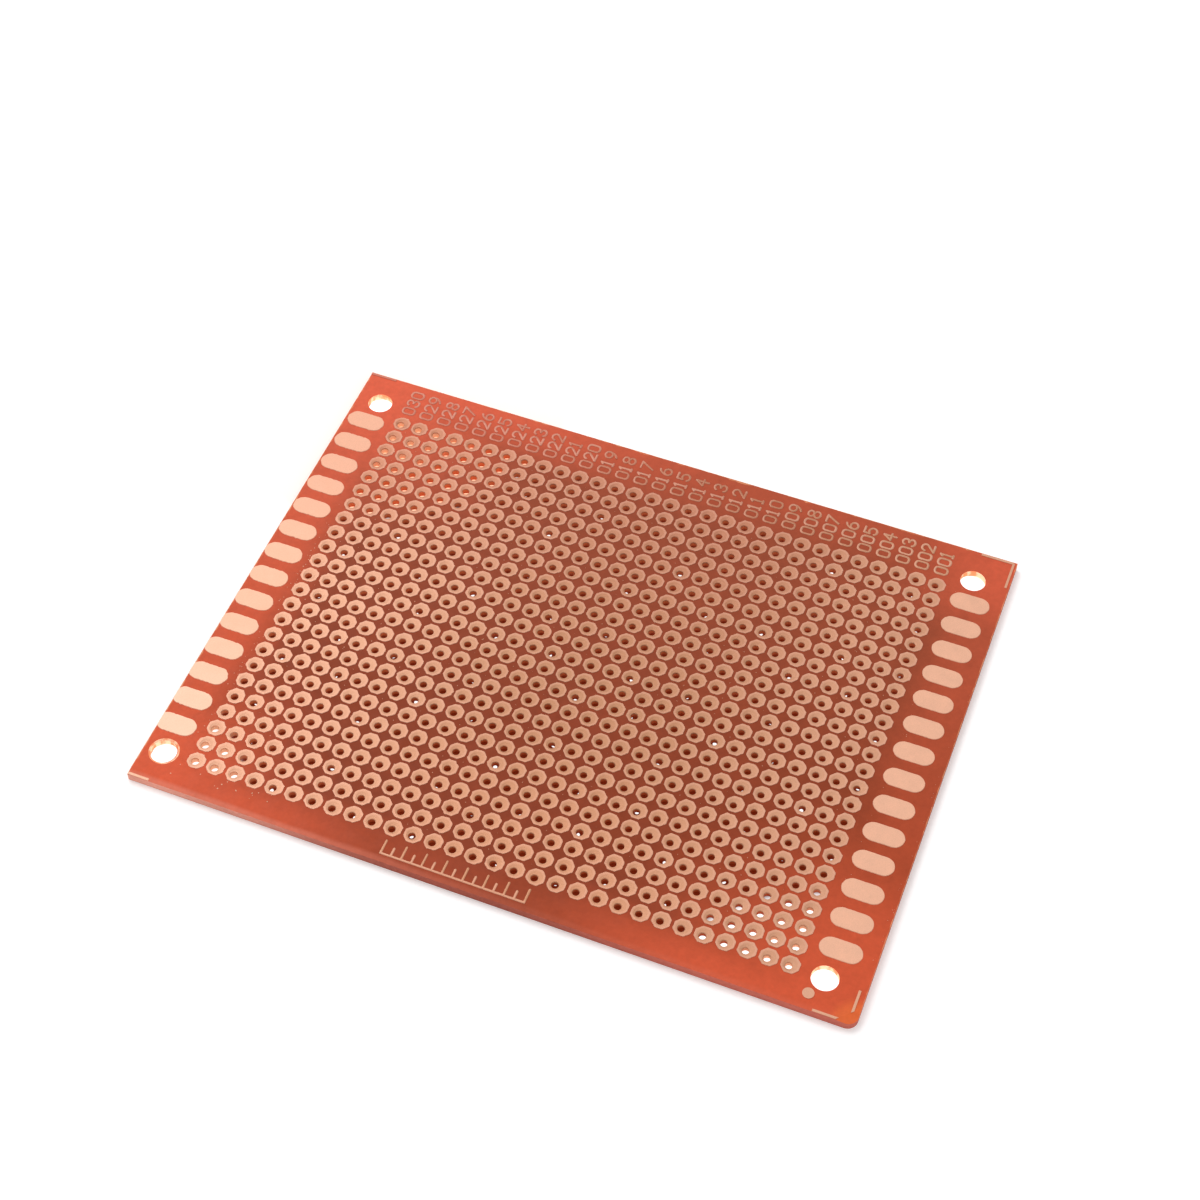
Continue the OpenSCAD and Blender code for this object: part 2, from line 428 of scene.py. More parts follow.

    # The screw hole walls are painted pale cream and tan, a painted glow of light coming up through them; the
    # outer cut walls are brown, and the painted glow turns them red and, towards the left, pink
    screws = n.lattice_distance(SCREW_CENTRE - (SCREW_X, SCREW_Y), 2 * SCREW_X, 2 * SCREW_Y)
    screw_glow_colour = n.mix(n.fade(torn, 0.42, 0.6), SCREW_GLOW_TAN, SCREW_GLOW_CREAM)
    wall_colour = n.mix(n.fade(screws, SCREW_WALL_END, SCREW_WALL_START), wall_colour, screw_glow_colour)
    edge_colour = n.mix(glow, EDGE_BROWN, n.mix(n.fade(n.x, -2, -36), EDGE_GLOW_RED, EDGE_GLOW_PINK))
    edge_colour = n.scale_colour(edge_colour, n.plus(n.times(layers, 0.24), 0.88))
    across_x = n.absolute(n.x)
    across_y = n.absolute(n.y)
    outer = n.larger(n.fade(across_x, 43.8, 43.9), n.fade(across_y, 34.4, 34.5))
    wall_colour = n.mix(outer, wall_colour, edge_colour)
    colour = n.mix(wall, face, wall_colour)

    mottle = n.noise(1.3, 3.0, seed=23.0)
    grain = n.plus(n.times(fibres, 0.24), n.times(mottle, 0.2))
    grain = n.plus(grain, 0.78)
    n.put(n.shader.inputs["Base Color"], n.scale_colour(colour, grain))
    rough = n.plus(n.times(n.noise(1.4, 4.0, seed=2.0), 0.25), 0.34)
    n.put(n.shader.inputs["Roughness"], n.larger(rough, n.times(wall, 0.85)))
    n.shader.inputs["Specular IOR Level"].default_value = 0.1
    # Painted light: the inner walls glow, more where light soaks in and most in the screw holes
    inside = n.times(wall, n.minus(1.0, outer))
    through = n.plus(n.times(n.fade(glow, 0.3, 0.8), LIT_WALL_GLOW), WALL_GLOW)
    through = n.plus(through, n.times(n.fade(screws, SCREW_WALL_END, SCREW_WALL_START), LIT_WALL_GLOW))
    n.put(n.shader.inputs["Emission Color"], wall_colour)
    n.put(n.shader.inputs["Emission Strength"], n.times(inside, through))
    fine = n.bump(fibres, 0.006, 0.5)
    n.put(n.shader.inputs["Normal"], n.bump(n.noise(2.5, 2.0, seed=6.0), 0.02, 0.4, after=fine))
    return n.material


# Copper tones by place on the board (a painted reflection of the light), on the wide contact pads (with a
# painted highlight), where it has dulled, and at the pads' rims (a painted highlight)
COPPER_MIDDLE = srgb(187, 130, 94)
COPPER_NEAR = srgb(213, 149, 112)
COPPER_LEFT = srgb(227, 168, 135)
COPPER_RIGHT = srgb(204, 147, 114)
COPPER_FAR = srgb(185, 115, 88)
COPPER_FAR_LEFT = srgb(198, 129, 97)
COPPER_WIDE = srgb(250, 194, 164)
COPPER_WIDE_LIT = srgb(255, 220, 194)
COPPER_DULL = srgb(200, 118, 96)
COPPER_RIM_HIGHLIGHT = srgb(252, 190, 168)
COPPER_FAR_LEFT_AT = (-45, 35)


def copper_material(name, dulled):
    """Bare copper foil, matte, with fine scratches, and a tone that drifts over the board as a painted
    reflection of the light, lighter near and to the left.
    """
    n = Nodes(name)
    # Painted reflection: the copper is lighter towards the near side and the left, and darker far and to the
    # right
    near = n.times(n.fade(n.y, -5, -30), 0.7)
    right = n.fade(n.x, 8, 34)
    tone = n.mix(near, COPPER_MIDDLE, COPPER_NEAR)
    tone = n.mix(n.fade(n.x, 0, -38), tone, COPPER_LEFT)
    tone = n.mix(right, tone, COPPER_RIGHT)
    far = n.times(n.fade(n.y, -5, 36), n.minus(0.7, n.times(right, 0.6)))
    tone = n.mix(far, tone, COPPER_FAR)
    far_left = n.times(n.fade(n.distance(COPPER_FAR_LEFT_AT), 36, 10), 0.8)
    tone = n.mix(far_left, tone, COPPER_FAR_LEFT)
    beside = n.absolute(n.minus(n.x, CONTACT_MIDDLE))
    beside = n.fade(beside, CONTACT_START - 0.3, CONTACT_START - 0.1)
    wide = n.plus(n.times(n.fade(n.absolute(n.y), 29, 28.5), 0.3), 0.3)
    wide = n.times(wide, beside)
    # Painted highlight: the wide contact pads are lighter towards the near side and the left
    lit = n.times(near, n.fade(n.x, 0, -38))
    tone = n.mix(wide, tone, n.mix(lit, COPPER_WIDE, COPPER_WIDE_LIT))
    edge_mark = n.times(n.fade(n.y, 34.3, 34.5), n.fade(n.x, -38, -39))
    dulling = n.times(n.fade(n.x, 12, -34), dulled)
    tone = n.mix(n.larger(edge_mark, dulling), tone, COPPER_DULL)
    stain = n.noise(1.6, 4.0, seed=1.0)
    fine = n.noise(0.12, 4.0, seed=4.0)
    scratch_a = n.noise(0.1, 2.0, (9, 0.35, 1), seed=7.0)
    scratch_b = n.noise(0.1, 2.0, (0.35, 7, 1), seed=9.0)
    scratches = n.larger(n.fade(scratch_a, 0.66, 0.74), n.fade(scratch_b, 0.68, 0.76))
    brushed = n.noise(0.5, 3.0, (0.16, 1.4, 1), seed=15.0)
    # Painted highlight: each lead pad is a little lighter at its rim, where the bevel catches the light
    from_pad = n.lattice_distance((COLUMN_1_X, row_y(0)), PITCH, PITCH)
    rim_highlight = n.times(n.fade(from_pad, 0.72, 0.98), n.minus(1.0, beside))
    tone = n.mix(n.times(rim_highlight, 0.22), tone, COPPER_RIM_HIGHLIGHT)
    value = n.plus(0.69, n.times(stain, 0.22))
    value = n.plus(value, n.times(fine, 0.28))
    value = n.plus(value, n.times(brushed, 0.12))
    value = n.plus(value, n.times(scratches, 0.05))
    n.put(n.shader.inputs["Base Color"], n.scale_colour(tone, value))
    n.shader.inputs["Metallic"].default_value = 0.3
    rough = n.minus(n.plus(n.times(stain, 0.22), 0.45), n.times(scratches, 0.1))
    n.put(n.shader.inputs["Roughness"], rough)
    grain = n.bump(fine, 0.004, 0.5)
    n.put(n.shader.inputs["Normal"], n.bump(scratches, 0.003, 0.4, after=grain))
    return n.material


def ink_material():
    """White screen ink, thin enough to let the orange through in places."""
    n = Nodes("white_ink")
    patchy = n.noise(0.7, 4.0, seed=11.0)
    colour = n.mix(n.fade(patchy, 0.62, 0.36), srgb(232, 176, 160), srgb(246, 232, 230))
    n.put(n.shader.inputs["Base Color"], colour)
    n.shader.inputs["Roughness"].default_value = 0.6
    n.shader.inputs["Specular IOR Level"].default_value = 0.3
    n.put(n.shader.inputs["Normal"], n.bump(patchy, 0.004, 0.5))
    return n.material


# Where white light comes up through the lead holes, how far that reaches and how strong it is
FAR_LEFT = (-45, 38)
LIT_CORNERS = (((43, -40), 21.2, 1.3), ((-44, -37), 13.9, 1.2), (FAR_LEFT, 27.5, 1.5))

# That light is white, but warm at the far left; elsewhere the floor under the board gives a little red light
WHITE = (1.0, 1.0, 1.0, 1.0)
WARM_LIGHT = srgb(250, 192, 156)
RED_LIGHT = srgb(184, 62, 26)

# Between the corners it comes up in small spots on a turned grid, so that some holes catch a glint
GLINT_CENTRE, GLINT_PITCH, GLINT_TURN_DEG = (-1.57, 0.4), 2.525, 45.8
GLINT_R, GLINT_LIGHT = 0.24, 1.2
# Light below the screw holes and, faintly, under the rest of the board
SCREW_LIGHT = 1.25
GLOW_BELOW = 0.2


def floor_material():
    """White card that reads as white to the camera; dark under the board, but lit below some holes."""
    n = Nodes("white_card")
    path = n.tree.nodes.new("ShaderNodeLightPath").outputs["Is Camera Ray"]
    under_x = n.fade(n.absolute(n.x), board_high[0] - 0.8, board_high[0] - 1.4)
    under_y = n.fade(n.absolute(n.y), board_high[1] - 0.4, board_high[1] - 1.0)
    under = n.times(under_x, under_y)
    screws = n.lattice_distance(SCREW_CENTRE - (SCREW_X, SCREW_Y), 2 * SCREW_X, 2 * SCREW_Y)
    below = n.times(n.fade(screws, 3.0, 2.4), SCREW_LIGHT)
    for centre, reach, strength in LIT_CORNERS:
        patch = n.times(n.fade(n.distance(centre), reach + 1, reach - 1), strength)
        below = n.larger(below, patch)
    glints = n.lattice_distance(GLINT_CENTRE, GLINT_PITCH, GLINT_PITCH, GLINT_TURN_DEG)
    spots = n.times(n.fade(glints, GLINT_R + 0.05, GLINT_R - 0.05), GLINT_LIGHT)
    below = n.larger(below, spots)
    lit = n.fade(below, 0.0, 0.6)
    # Painted shade: under the board the card is a dark red-brown, as shade tinted by light through the resin
    n.put(n.shader.inputs["Base Color"], n.mix(under, (0.93, 0.93, 0.93, 1.0), srgb(150, 60, 36)))
    n.shader.inputs["Roughness"].default_value = 0.9
    n.shader.inputs["Specular IOR Level"].default_value = 0.0
    warm = n.times(n.fade(n.distance(FAR_LEFT), 28.5, 26.5), n.fade(screws, 2.4, 3.0))
    pale = n.mix(warm, WHITE, WARM_LIGHT)
    pale = n.mix(n.larger(lit, n.minus(1.0, under)), RED_LIGHT, pale)
    n.put(n.shader.inputs["Emission Color"], pale)
    open_floor = n.times(n.minus(1.0, under), n.times(path, 0.2))
    below = n.times(under, n.larger(below, GLOW_BELOW))
    n.put(n.shader.inputs["Emission Strength"], n.plus(open_floor, below))
    return n.material


laminate_skin = laminate_material()
copper_skin = copper_material("copper_foil", 0.0)
print_skin = copper_material("copper_print", 0.92)

for node_name, cad_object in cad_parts.items():
    skin = laminate_skin if node_name == "laminate" else copper_skin
    for slot in cad_object.material_slots:
        slot.material = skin

# Lead pads

SIDES = 8
CORNER_SPREAD = math.radians(3.4)
SIDE_SAMPLES = (0.33, 0.67)
PAD_RADIUS = PAD_AF / 2


def octagon_angles():
    """Angles of the outline's points: three at each corner and two along each side."""
    angles = []
    step = 2 * math.pi / SIDES
    for corner in range(SIDES):
        middle = (corner + 0.5) * step
        angles += [middle - CORNER_SPREAD, middle, middle + CORNER_SPREAD]
        angles += [middle + s * step for s in SIDE_SAMPLES]
    return np.array(angles)


PAD_ANGLES = octagon_angles()
PAD_DIRECTIONS = np.column_stack([np.cos(PAD_ANGLES), np.sin(PAD_ANGLES)])


def octagon_radii():
    """Radius of the etched octagon at each of its angles, with softened corners."""
    step = 2 * math.pi / SIDES
    within = (PAD_ANGLES + step / 2) % step - step / 2
    radii = PAD_RADIUS / np.cos(within)
    return np.minimum(radii, PAD_RADIUS / math.cos(step / 2) - rng.uniform(0.01, 0.04))


def etched_radii(raggedness):
    """The octagon as etching left it: a wavy outline, and now and then a spur; raggedness is 0 to 1."""
    radii = octagon_radii()
    for wave in (2, 3, 5, 9):
        radii = radii + rng.normal(0, 0.008) * np.cos(wave * PAD_ANGLES + rng.uniform(0, 6.3))
    radii += rng.normal(0, 0.005 + 0.015 * raggedness, len(radii))
    if rng.random() < 0.05 + 0.15 * raggedness:
        radii[rng.integers(len(radii))] += rng.uniform(0.06, 0.16)
    return np.minimum(radii, PAD_RADIUS + 0.16)


# The dimple pressed into the foil: radius, drop, and share of the way from the pad's middle to the lip's
DIMPLE = ((0.74, 0.002, 0.5), (0.68, 0.022, 0.6), (0.57, 0.03, 0.85), (0.5, 0.04, 0.95))
LIP_SHIFT = np.array([-0.055, -0.02])
LIP_R = 0.4
TORN_SHARE = 0.03
# Below the dimple the foil is drawn down the wall: how far inwards, and how deep
DRAWN = ((0.025, 0.075), (0.0, 0.14), (-0.005, 0.2))


def add_lead_pad(builder, x, y, raggedness):
    """One pad with its dimple and lip, as a ring of foil round the hole."""
    centre = np.array([x, y]) + rng.normal(0, 0.008, 2)
    lip_centre = np.array([x, y]) + PUNCH + LIP_SHIFT * (1 - 0.6 * raggedness) + rng.normal(0, 0.006, 2)
    radii = etched_radii(raggedness)[:, None]
    outline = centre + PAD_DIRECTIONS * radii
    rings = [at_height(outline, BOARD_TOP),
             at_height(centre + PAD_DIRECTIONS * (radii - 0.012), BOARD_TOP + FOIL * 0.7),
             at_height(centre + PAD_DIRECTIONS * (radii - 0.035), FOIL_TOP)]
    depth = rng.uniform(0.25, 1.1) + 0.6 * raggedness
    for radius, drop, share in DIMPLE:
        middle = centre + (lip_centre - centre) * share
        rings.append(at_height(middle + PAD_DIRECTIONS * radius, FOIL_TOP - drop * depth))
    lip = LIP_R + 0.05 * raggedness + rng.normal(0, 0.006, len(PAD_ANGLES))
    if rng.random() < TORN_SHARE:
        at = rng.integers(len(lip))
        for step, push in ((-1, 0.04), (0, 0.09), (1, 0.04)):
            lip[(at + step) % len(lip)] -= push
    for outwards, drop in DRAWN:
        rings.append(at_height(lip_centre + PAD_DIRECTIONS * (lip[:, None] + outwards), FOIL_TOP - drop))
    builder.loft(rings)


for column in range(1, COLUMNS + 1):
    pads = Builder()
    for row in range(ROWS):
        add_lead_pad(pads, column_x(column), row_y(row), (column - 1) / (COLUMNS - 1))
    foil = pads.piece(f"lead_pads_{column:03d}", copper_skin, "copper", 28)
    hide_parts(f"pads_column_{column:03d}")

# Round-ended contact pads along the short edges

END_SAMPLES = 14
SIDE_STEPS = 12
left_edge_far = np.array([board_low[0], board_high[1]])
left_edge_near = np.array([board_low[0] + LEFT_LEAN, board_low[1]])


def stadium(centre, length, width):
    """An anticlockwise strip with full round ends."""
    radius = width / 2
    reach = length / 2 - radius
    turn = np.linspace(-math.pi / 2, math.pi / 2, END_SAMPLES)
    right = np.column_stack([reach + radius * np.cos(turn), radius * np.sin(turn)])
    top = np.column_stack([np.linspace(reach, -reach, SIDE_STEPS)[1:-1], np.full(SIDE_STEPS - 2, radius)])
    return centre + np.concatenate([right, top, -right, -top])


def ragged(outline, amount):
    """The outline with the small uneven teeth that etching leaves."""
    return outline + (inset(outline, 1.0) - outline) * rng.normal(0, amount, (len(outline), 1))


def sheared(ring):
    """The ring with what passes the leaning left edge pushed back onto it."""
    share = (ring[:, 1] - left_edge_near[1]) / (left_edge_far[1] - left_edge_near[1])
    edge = left_edge_near[0] + (left_edge_far[0] - left_edge_near[0]) * share
    pushed = ring.copy()
    pushed[:, 0] = np.maximum(ring[:, 0], edge + 0.01)
    return pushed


for side, roughness in (("left", 0.022), ("right", 0.01)):
    contacts = Builder()
    for i in range(CONTACTS):
        centre = np.array([CONTACT_X[side], CONTACT_Y + i * CONTACT_PITCH])
        outline = ragged(stadium(centre, CONTACT_L, CONTACT_W), roughness)
        rings = foil_rings(outline, BOARD_TOP, FOIL, 0.05)
        if side == "left":
            rings = [sheared(ring) for ring in rings]
        contacts.loft(rings, closed=False)
    foil = contacts.piece(f"contact_pads_{side}", copper_skin, "copper", 30)
    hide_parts(f"edge_pads_{side}")

# Stroke letters and figures

def line(*points):
    return np.array(points, float)


def bowl(centre_u, centre_v, radius_u, radius_v, start, end):
    """An elliptic arc between two angles in degrees."""
    steps = max(4, int(abs(end - start) / 20))
    turn = np.radians(np.linspace(start, end, steps + 1))
    return np.column_stack([centre_u + radius_u * np.cos(turn), centre_v + radius_v * np.sin(turn)])


def join(*parts):
    return np.concatenate(parts)


def turned(strokes):
    return [1 - stroke for stroke in strokes]


ZERO = join(bowl(0.62, 0.74, 0.38, 0.26, 0, 90), bowl(0.38, 0.74, 0.38, 0.26, 90, 180),
            bowl(0.38, 0.26, 0.38, 0.26, 180, 270), bowl(0.62, 0.26, 0.38, 0.26, 270, 360), line((1, 0.74)))
SIX = [bowl(0.5, 0.3, 0.5, 0.3, 0, 360), bowl(0.95, 0.3, 0.95, 0.7, 105, 180)]
GLYPHS = {
    "0": [ZERO],
    "1": [line((0.58, 0), (0.58, 1)), line((0.58, 1), (0, 0.84)), line((0, 0), (1, 0))],
    "2": [join(bowl(0.5, 0.71, 0.5, 0.29, 175, -25), line((0, 0))), line((0, 0), (1, 0))],
    "3": [bowl(0.5, 0.75, 0.45, 0.25, 165, -90), bowl(0.5, 0.25, 0.5, 0.25, 90, -165)],
    "4": [line((0.66, 1), (0, 0.4)), line((0, 0.4), (1, 0.4)), line((0.66, 1), (0.66, 0))],
    "5": [line((0.95, 1), (0.1, 1)), line((0.1, 1), (0.05, 0.54)),
          join(line((0.05, 0.54)), bowl(0.48, 0.32, 0.52, 0.32, 115, -155))],
    "6": SIX,
    "7": [line((0, 1), (1, 1)), line((1, 1), (0.12, 0))],
    "8": [bowl(0.5, 0.76, 0.45, 0.24, 0, 360), bowl(0.5, 0.26, 0.5, 0.26, 0, 360)],
    "9": turned(SIX),
    "A": [line((0, 0), (0.5, 1)), line((0.5, 1), (1, 0)), line((0.2, 0.36), (0.8, 0.36))],
    "B": [line((0, 0), (0, 1)), join(line((0, 1)), bowl(0.55, 0.76, 0.4, 0.24, 90, -90), line((0, 0.52))),
          join(line((0, 0.52)), bowl(0.55, 0.26, 0.45, 0.26, 90, -90), line((0, 0)))],
    "C": [bowl(0.5, 0.5, 0.5, 0.5, 50, 310)],
    "D": [line((0, 0), (0, 1)), join(line((0, 1)), bowl(0.4, 0.5, 0.6, 0.5, 90, -90), line((0, 0)))],
    "E": [line((0, 0), (0, 1)), line((0, 1), (0.9, 1)), line((0, 0.52), (0.7, 0.52)), line((0, 0), (0.9, 0))],
    "F": [line((0, 0), (0, 1)), line((0, 1), (0.9, 1)), line((0, 0.52), (0.7, 0.52))],
    "G": [bowl(0.5, 0.5, 0.5, 0.5, 50, 345), line((0.55, 0.4), (1, 0.4))],
    "H": [line((0, 0), (0, 1)), line((1, 0), (1, 1)), line((0, 0.52), (1, 0.52))],
    "I": [line((0.5, 0), (0.5, 1)), line((0.2, 0), (0.8, 0)), line((0.2, 1), (0.8, 1))],
    "J": [join(line((0.85, 1)), bowl(0.42, 0.3, 0.43, 0.3, 0, -165))],
    "K": [line((0, 0), (0, 1)), line((0.95, 1), (0, 0.42)), line((0.3, 0.6), (1, 0))],
    "L": [line((0, 1), (0, 0)), line((0, 0), (0.9, 0))],
    "M": [line((0, 0), (0, 1)), line((0, 1), (0.5, 0.4)), line((0.5, 0.4), (1, 1)),
          line((1, 1), (1, 0))],
    "N": [line((0, 0), (0, 1)), line((0, 1), (1, 0)), line((1, 0), (1, 1))],
    "O": [ZERO],
    "P": [line((0, 0), (0, 1)), join(line((0, 1)), bowl(0.55, 0.73, 0.45, 0.27, 90, -90), line((0, 0.46)))],
    "Q": [ZERO, line((0.6, 0.3), (1, -0.05))],
    "R": [line((0, 0), (0, 1)), join(line((0, 1)), bowl(0.55, 0.73, 0.45, 0.27, 90, -90), line((0, 0.46))),
          line((0.5, 0.46), (1, 0))],
    "S": [join(bowl(0.5, 0.75, 0.46, 0.25, 30, 270), bowl(0.5, 0.25, 0.5, 0.25, 90, -150))],
    "T": [line((0.5, 0), (0.5, 1)), line((0, 1), (1, 1))],
    "U": [join(line((0, 1)), bowl(0.5, 0.34, 0.5, 0.34, 180, 360), line((1, 1)))],
    "V": [line((0, 1), (0.5, 0)), line((0.5, 0), (1, 1))],
    "W": [line((0, 1), (0.22, 0)), line((0.22, 0), (0.5, 0.65)), line((0.5, 0.65), (0.78, 0)),
          line((0.78, 0), (1, 1))],
}

# A ribbon's round end: the steps along it, and half the width that its tip keeps
CAP_STEPS = (0.0, 0.45, 0.8, 1.0)
CAP_TIP = 0.004

# A ribbon's cross-section: side, share of the bevel, and share of the height
RIBBON_PROFILE = ((-1, 0, 0.0), (-1, 0.35, 0.65), (-1, 1, 1.0), (1, 1, 1.0), (1, 0.35, 0.65), (1, 0, 0.0))

# Strokes that cross differ a little in height, so that no two faces coincide
LAYER_STEP = 0.06


def ribbon(builder, path, width, base, thickness, waver=0.0):
    """A flat ribbon with round ends along a path in plan; thickness may be negative, for a face below."""
    path = np.asarray(path, float)
    lengths = np.linalg.norm(np.diff(path, axis=0), axis=1)
    path = path[np.concatenate([[True], lengths > 1e-6])]
    closed = np.linalg.norm(path[0] - path[-1]) < 1e-6
    if closed:
        path = path[:-1]
        along = np.roll(path, -1, 0) - np.roll(path, 1, 0)
    else:
        along = np.gradient(path, axis=0)
    along /= np.linalg.norm(along, axis=1, keepdims=True)
    across = np.column_stack([-along[:, 1], along[:, 0]])
    half = np.full(len(path), width / 2) + rng.normal(0, 1, len(path)) * waver
    if not closed:
        start = [(path[0] - along[0] * half[0] * c, half[0] * math.sqrt(max(0.0, 1 - c * c)) + CAP_TIP)
                 for c in reversed(CAP_STEPS[1:])]
        end = [(path[-1] + along[-1] * half[-1] * c, half[-1] * math.sqrt(max(0.0, 1 - c * c)) + CAP_TIP)
               for c in CAP_STEPS[1:]]
        path = np.array([p for p, _ in start] + list(path) + [p for p, _ in end])
        half = np.array([h for _, h in start] + list(half) + [h for _, h in end])
        across = np.concatenate([np.repeat(across[:1], len(start), 0), across,
                                 np.repeat(across[-1:], len(end), 0)])
    bevel = min(0.045, width * 0.18)
    profile = RIBBON_PROFILE if thickness >= 0 else RIBBON_PROFILE[::-1]
    rings = []
    for point, side, reach in zip(path, across, half):
        rings.append([[*(point + side * sign * max(0.002, reach - bevel * back)), base + thickness * height]
                      for sign, back, height in profile])
    builder.loft(rings, closed=closed)


def write(builder, text, origin, along, up, width, height, stroke, advance, base, thickness, waver=0.01):
    """Writes figures or letters as ribbons; origin is the foot of the first one's left side."""
    place = np.array(origin, float)
    along, up = np.array(along, float), np.array(up, float)
    for letter in text:
        narrow = 0.4 if letter == "1" else 1.0
        for layer, path in enumerate(GLYPHS[letter]):
            plan = place + np.outer(path[:, 0] * width * narrow, along) + np.outer(path[:, 1] * height, up)
            ribbon(builder, plan, stroke, base, thickness * (1 - layer * LAYER_STEP), waver)
        place = place + along * (advance - (1 - narrow) * width * 0.45)


# Column numbers in copper along the far edge

FIGURE_W, FIGURE_H, FIGURE_STROKE, FIGURE_ADVANCE = 1.06, 1.6, 0.32, 1.5
NUMBER_GAP = 1.93
NUMBER_SHIFT = -0.1
TOP_UP, TOP_ALONG = (-1, 0), (0, 1)
numbers = Builder()
for column in range(1, COLUMNS + 1):
    foot = (column_x(column) + NUMBER_SHIFT + FIGURE_H / 2, ROW_24_Y + NUMBER_GAP)
    write(numbers, f"{column:03d}", foot, TOP_ALONG, TOP_UP, FIGURE_W, FIGURE_H, FIGURE_STROKE,
          FIGURE_ADVANCE, BOARD_TOP, FOIL)
numbers.piece("column_numbers", print_skin, "copper", 50)

# A plain scale of copper ticks in the near margin

SCALE_START, SCALE_Y, SCALE_TICKS = -12.1, -34.1, 15
LONG_TICK, SHORT_TICK, TICK_W, TICK_WAVER = 1.75, 1.05, 0.3, 0.01
scale_ticks = Builder()
for tick in range(SCALE_TICKS):
    x = SCALE_START + tick * PITCH / 2
    reach = LONG_TICK if tick % 2 == 0 else SHORT_TICK
    ribbon(scale_ticks, [(x, SCALE_Y), (x, SCALE_Y + reach)], TICK_W, BOARD_TOP, FOIL, TICK_WAVER)
ribbon(scale_ticks, [(SCALE_START, SCALE_Y), (SCALE_START + (SCALE_TICKS - 1) * PITCH / 2, SCALE_Y)],
       TICK_W, BOARD_TOP, FOIL * (1 - LAYER_STEP), TICK_WAVER)
scale_ticks.piece("tick_scale", copper_skin, "copper", 50)

# Copper specks that etching left between the pads

SPECK_SIDES = 7
SPECKS_BETWEEN_PADS, SPECKS_AT_RIGHT = 150, 60
# The near left margin and the strip between the left contact pads and the grid: count, x, y, size
SPECK_STRIPS = ((16, (-40, -27), (-33.4, -31.6), (0.05, 0.13)),
                (60, (-39.3, -38.5), (-27, 12), (0.04, 0.09)))
specks = Builder()


def add_speck(x, y, size):
    turn = np.linspace(0, 2 * math.pi, SPECK_SIDES + 1)[:-1] + rng.uniform(-0.25, 0.25, SPECK_SIDES)
    rays = np.column_stack([np.cos(turn), np.sin(turn)]) * rng.uniform(0.6, 1, (SPECK_SIDES, 1)) * size
    foil_slab(specks, np.array([x, y]) + rays, BOARD_TOP, FOIL * 0.6, size * 0.2)


for _ in range(SPECKS_BETWEEN_PADS):
    x = column_x(rng.integers(1, COLUMNS)) - PITCH / 2 + rng.normal(0, 0.1)
    y = row_y(rng.integers(0, ROWS - 1)) + PITCH / 2 + rng.normal(0, 0.1)
    add_speck(x, y, rng.uniform(0.03, 0.08))
for count, across, along, sizes in SPECK_STRIPS:
    for _ in range(count):
        add_speck(rng.uniform(*across), rng.uniform(*along), rng.uniform(*sizes))
for _ in range(SPECKS_AT_RIGHT):
    x = rng.uniform(38.4, 39.4) if rng.random() < 0.6 else rng.uniform(44.4, 44.9)
    add_speck(x, rng.uniform(-28, 28), rng.uniform(0.02, 0.05))
specks.piece("copper_specks", copper_skin, "copper", 50)

# White legend on the plain side

# The ink lies from just inside the card to just below it
INK = 0.012
INK_TOP = 0.004
INK_STROKE, INK_WAVER = 0.25, 0.02
ink_skin = ink_material()
UNDER_UP, UNDER_ALONG = (-1, 0), (0, -1)

legend = Builder()
for column in range(1, COLUMNS + 1):
    foot = (column_x(column) + NUMBER_SHIFT + FIGURE_H / 2, ROW_24_Y + 5.05)
    write(legend, f"{column:03d}", foot, UNDER_ALONG, UNDER_UP, FIGURE_W, FIGURE_H, INK_STROKE,
          FIGURE_ADVANCE, INK_TOP, -INK, INK_WAVER)
legend.piece("plain_side_numbers", ink_skin, "legend_ink", 50)

LETTER_W, LETTER_H, LETTER_ADVANCE = 0.9, 1.4, 1.2
legend = Builder()
for index, letter in enumerate("ABCDEFGHIJKLMNOPQRSTUVW"):
    foot = (COLUMN_30_X - PITCH + 0.65, row_y(ROWS - 1 - index) + 0.45)
    write(legend, letter, foot, UNDER_ALONG, UNDER_UP, LETTER_W, LETTER_H, INK_STROKE,
          LETTER_ADVANCE, INK_TOP, -INK, INK_WAVER)
legend.piece("plain_side_row_letters", ink_skin, "legend_ink", 50)

# Lines along the edges and every fifth row and column, broken at each hole
LINE_W, LINE_SHIFT, LINE_WAVER = 0.42, 0.16, 0.03
HOLE_CLEAR = 1.0
legend = Builder()


def legend_line_x(row, first, last):
    """Ink from column first to column last along a row, broken at each hole."""
    y = row_y(row) + PUNCH[1] + LINE_SHIFT
    for column in range(first, last):
        start = column_x(column) + PUNCH[0] - HOLE_CLEAR
        end = column_x(column + 1) + PUNCH[0] + HOLE_CLEAR
        ribbon(legend, [(start, y), ((start + end) / 2, y), (end, y)], LINE_W, INK_TOP, -INK, LINE_WAVER)


def legend_line_y(column, first, last):
    """Ink from row first to row last along a column, broken at each hole."""
    x = column_x(column) + PUNCH[0] - LINE_SHIFT
    for row in range(first, last):
        start = row_y(row) + PUNCH[1] + HOLE_CLEAR
        end = row_y(row + 1) + PUNCH[1] - HOLE_CLEAR
        ribbon(legend, [(x, start), (x, (start + end) / 2), (x, end)], LINE_W, INK_TOP, -INK, LINE_WAVER)


for row in (0, 4, 9, 14, 19, ROWS - 1):
    legend_line_x(row, 1, COLUMNS)
for column in (1, 5, 10, 15, 20, 25, COLUMNS):
    legend_line_y(column, 0, ROWS - 1)
legend.piece("plain_side_lines", ink_skin, "legend_ink", 50)

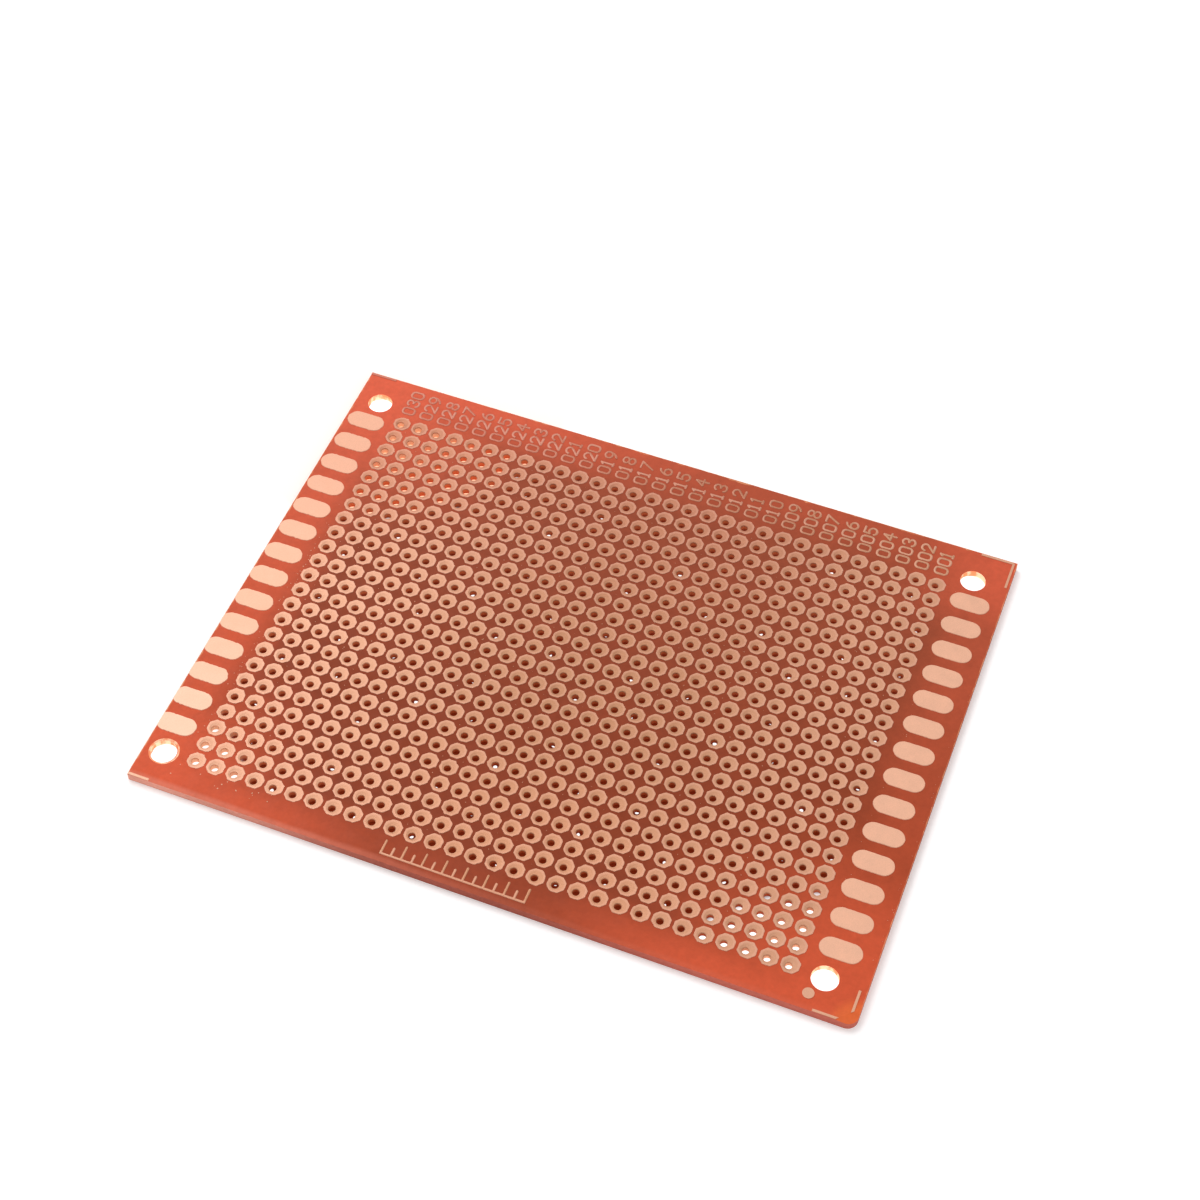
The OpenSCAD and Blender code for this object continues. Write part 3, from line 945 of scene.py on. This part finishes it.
# Corner angles and a ring beside the near right screw hole
MARK_LEG, MARK_W = 4.2, 0.35
MARK_X, MARK_Y = 43.6, 34.3
RING_R = 0.6
legend = Builder()
for sx, sy in ((-1, -1), (-1, 1), (1, -1), (1, 1)):
    corner = np.array([sx * MARK_X, sy * MARK_Y])
    ribbon(legend, [corner, corner - (sx * MARK_LEG, 0)], MARK_W, INK_TOP, -INK, LINE_WAVER)
    ribbon(legend, [corner, corner - (0, sy * MARK_LEG)], MARK_W, INK_TOP, -INK, LINE_WAVER)
ring = np.array([SCREW_X + SCREW_CENTRE[0] - 1.15, SCREW_CENTRE[1] - SCREW_Y - 2.45])
ribbon(legend, ring + bowl(0, 0, RING_R, RING_R, 0, 360), INK_STROKE, INK_TOP, -INK, 0.015)
legend.piece("plain_side_marks", ink_skin, "legend_ink", 50)

# Camera: the photograph's viewing angle, from the fitted pad lattice

CAMERA_AT = Vector((59.67, -157.62, 223.76)) * METRES
CAMERA_AIM = Vector((-2.24, 9.8, 1.27)) * METRES
CAMERA_ROLL_DEG = 1.3
CAMERA_LENS, SENSOR = 68.6, 36.0

camera_data = bpy.data.cameras.new("camera")
camera_data.sensor_fit = "HORIZONTAL"
camera_data.sensor_width = SENSOR
camera_data.lens = CAMERA_LENS
camera_data.clip_start = 0.01
camera = bpy.data.objects.new("camera", camera_data)
bpy.context.scene.collection.objects.link(camera)
look = (CAMERA_AIM - CAMERA_AT).to_track_quat("-Z", "Y")
camera.rotation_euler = (look @ Euler((0, 0, math.radians(CAMERA_ROLL_DEG))).to_quaternion()).to_euler()
camera.location = CAMERA_AT
bpy.context.scene.camera = camera

# Floor and light

FLOOR_HALF = 1500
FLOOR_Z = -0.02
floor_mesh = bpy.data.meshes.new("floor")
floor_mesh.from_pydata([(x * FLOOR_HALF * METRES, y * FLOOR_HALF * METRES, FLOOR_Z * METRES)
                        for x, y in ((-1, -1), (1, -1), (1, 1), (-1, 1))], [], [(0, 1, 2, 3)])
floor_mesh.materials.append(floor_material())
floor = bpy.data.objects.new("floor", floor_mesh)
bpy.context.scene.collection.objects.link(floor)


def softbox(name, place, size, strength):
    """A square area light that looks at the board; place and size in millimetres."""
    data = bpy.data.lights.new(name, "AREA")
    data.shape = "SQUARE"
    data.size = size * METRES
    data.energy = strength
    lamp = bpy.data.objects.new(name, data)
    lamp.location = Vector(place) * METRES
    lamp.rotation_euler = (-lamp.location).to_track_quat("-Z", "Y").to_euler()
    bpy.context.scene.collection.objects.link(lamp)


softbox("key", (-420, 330, 800), 560, 4.4)
softbox("fill", (500, -300, 700), 700, 1.0)

WORLD_LIGHT = 0.56
world = bpy.data.worlds.new("studio")
bpy.context.scene.world = world
world.use_nodes = True
world.node_tree.nodes["Background"].inputs["Color"].default_value = WHITE
world.node_tree.nodes["Background"].inputs["Strength"].default_value = WORLD_LIGHT

bpy.context.scene.view_settings.view_transform = "Standard"
